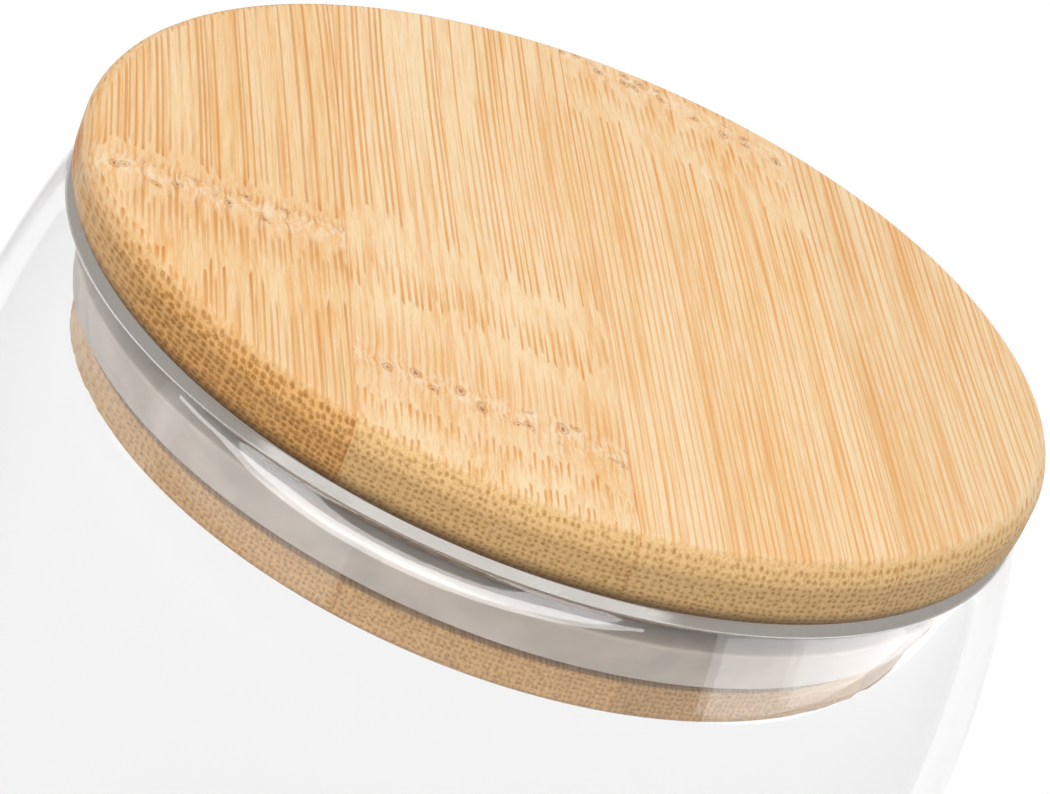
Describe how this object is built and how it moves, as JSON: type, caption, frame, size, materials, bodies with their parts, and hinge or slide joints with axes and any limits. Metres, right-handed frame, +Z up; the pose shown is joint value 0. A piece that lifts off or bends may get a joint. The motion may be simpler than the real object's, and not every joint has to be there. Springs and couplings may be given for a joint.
{
  "type": "food canister",
  "caption": "Round clear glass storage jar with a sloping shoulder, closed by a push-in lid of laminated bamboo that carries a finned silicone seal round its plug.",
  "frame": {"origin": "centre of the ring that the jar stands on", "axes": "+Z up the jar's axis to the lid, Y along the grain of the lid's face"},
  "size_m": [0.0934, 0.0934, 0.15],
  "materials": {
    "clear_glass": "clear, smooth, rim ground flat and polished",
    "silicone": "translucent, satin",
    "bamboo": "sanded, thin matt oil, open pores on the end grain"
  },
  "bodies": {
    "jar": {"glass_jar": "clear_glass"},
    "seal": {"lid_seal": "silicone"},
    "lid": {"lid_face_strip_1": "bamboo", "lid_face_strip_2": "bamboo", "lid_face_strip_3": "bamboo", "lid_face_strip_4": "bamboo", "lid_core_strip_1": "bamboo", "lid_core_strip_2": "bamboo", "lid_core_strip_3": "bamboo", "lid_core_strip_4": "bamboo", "lid_base_strip_1": "bamboo", "lid_base_strip_2": "bamboo", "lid_base_strip_3": "bamboo", "lid_base_strip_4": "bamboo"}
  },
  "joints": [
    {"name": "lid_lift", "type": "slide", "parent": "jar", "child": "seal", "axis": [0, 0, 1], "range_m": [0, 0.05]},
    {"name": "lid_turn", "type": "hinge", "parent": "seal", "child": "lid", "pos_m": [0, 0, 0.15], "axis": [0, 0, 1], "continuous": true}
  ]
}
